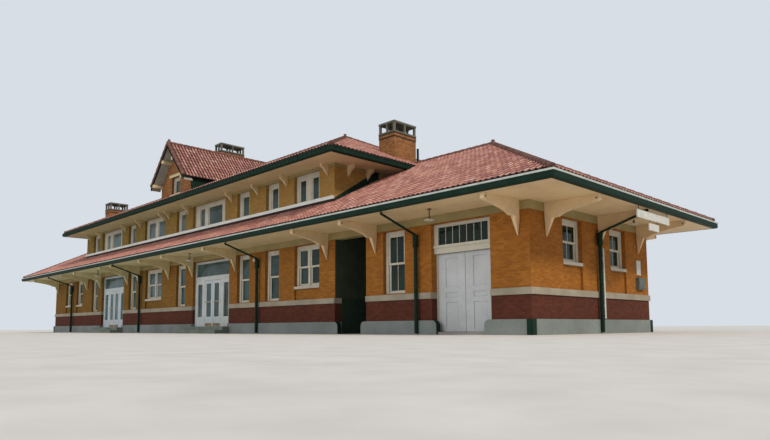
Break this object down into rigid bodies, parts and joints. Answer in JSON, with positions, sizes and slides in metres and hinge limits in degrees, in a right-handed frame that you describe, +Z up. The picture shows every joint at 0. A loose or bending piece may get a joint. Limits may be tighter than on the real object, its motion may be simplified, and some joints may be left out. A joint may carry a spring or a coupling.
{
  "type": "railway station building, 1:2 scale model",
  "caption": "Long brick railway station with tiled hip roofs on wide bracketed eaves, an upper storey with a cross gable, and hinged entrance and freight doors.",
  "frame": {"origin": "middle of the plan at ground level, under the building", "axes": "+X to the right along the platform front, +Y from the front to the rear, +Z up"},
  "size_m": [26.026, 6.816, 6.48],
  "materials": {
    "stone_plinth": "rough grey stone",
    "dark_brick": "dark red pressed brick",
    "buff_brick": "orange-buff pressed brick",
    "cast_stone": "weathered cast stone",
    "cream_paint": "cream gloss paint on boards",
    "green_metal": "dark green gloss paint",
    "roof_tile": "unglazed interlocking clay tile",
    "white_joinery": "white paint on wood",
    "window_glass": "clear glass, dark behind",
    "concrete": "smooth concrete",
    "floor_boards": "plain boards",
    "lamp_enamel": "white enamel"
  },
  "bodies": {
    "station": {"plinth": "stone_plinth", "guard_stones": "stone_plinth", "corner_guards": "green_metal", "dado_wall": "dark_brick", "belt_course": "cast_stone", "front_wall": "buff_brick", "rear_wall": "buff_brick", "end_walls": "buff_brick", "passage_walls": "buff_brick", "frieze": "cream_paint", "ground_floor": "concrete", "upper_front_wall": "buff_brick", "upper_rear_wall": "buff_brick", "upper_end_walls": "buff_brick", "window_sills": "cast_stone", "upper_floor": "floor_boards", "soffits": "cream_paint", "gutters": "green_metal", "eave_brackets": "cream_paint", "lower_roofs": "roof_tile", "pent_roofs": "roof_tile", "upper_roof": "roof_tile", "gable_roof": "roof_tile", "gable_walls": "buff_brick", "chimneys": "buff_brick", "chimney_caps": "cast_stone", "vent_pipe": "green_metal", "ground_windows": "white_joinery", "ground_glass": "window_glass", "upper_windows": "white_joinery", "upper_glass": "window_glass", "door_frames": "white_joinery", "door_steps": "concrete", "downspouts": "green_metal", "eave_lamps": "lamp_enamel"},
    "main_door_1_left": {"main_1_left_leaf": "white_joinery", "main_1_left_glass": "window_glass"},
    "main_door_1_right": {"main_1_right_leaf": "white_joinery", "main_1_right_glass": "window_glass"},
    "main_door_2_left": {"main_2_left_leaf": "white_joinery", "main_2_left_glass": "window_glass"},
    "main_door_2_right": {"main_2_right_leaf": "white_joinery", "main_2_right_glass": "window_glass"},
    "freight_door_left": {"freight_left_leaf": "white_joinery"},
    "freight_door_right": {"freight_right_leaf": "white_joinery"}
  },
  "joints": [
    {"name": "main_door_1_left_hinge", "type": "hinge", "parent": "station", "child": "main_door_1_left", "pos_m": [1.077, -2.227, 0.845], "axis": [0, 0, -1], "range_deg": [0, 90]},
    {"name": "main_door_1_right_hinge", "type": "hinge", "parent": "station", "child": "main_door_1_right", "pos_m": [1.953, -2.227, 0.845], "axis": [0, 0, 1], "range_deg": [0, 90]},
    {"name": "main_door_2_left_hinge", "type": "hinge", "parent": "station", "child": "main_door_2_left", "pos_m": [-6.0381, -2.227, 0.845], "axis": [0, 0, -1], "range_deg": [0, 90]},
    {"name": "main_door_2_right_hinge", "type": "hinge", "parent": "station", "child": "main_door_2_right", "pos_m": [-5.1621, -2.227, 0.845], "axis": [0, 0, 1], "range_deg": [0, 90]},
    {"name": "freight_door_left_hinge", "type": "hinge", "parent": "station", "child": "freight_door_left", "pos_m": [9.8111, -2.093, 0.77], "axis": [0, 0, 1], "range_deg": [0, 90]},
    {"name": "freight_door_right_hinge", "type": "hinge", "parent": "station", "child": "freight_door_right", "pos_m": [11.0851, -2.093, 0.77], "axis": [0, 0, -1], "range_deg": [0, 90]}
  ]
}
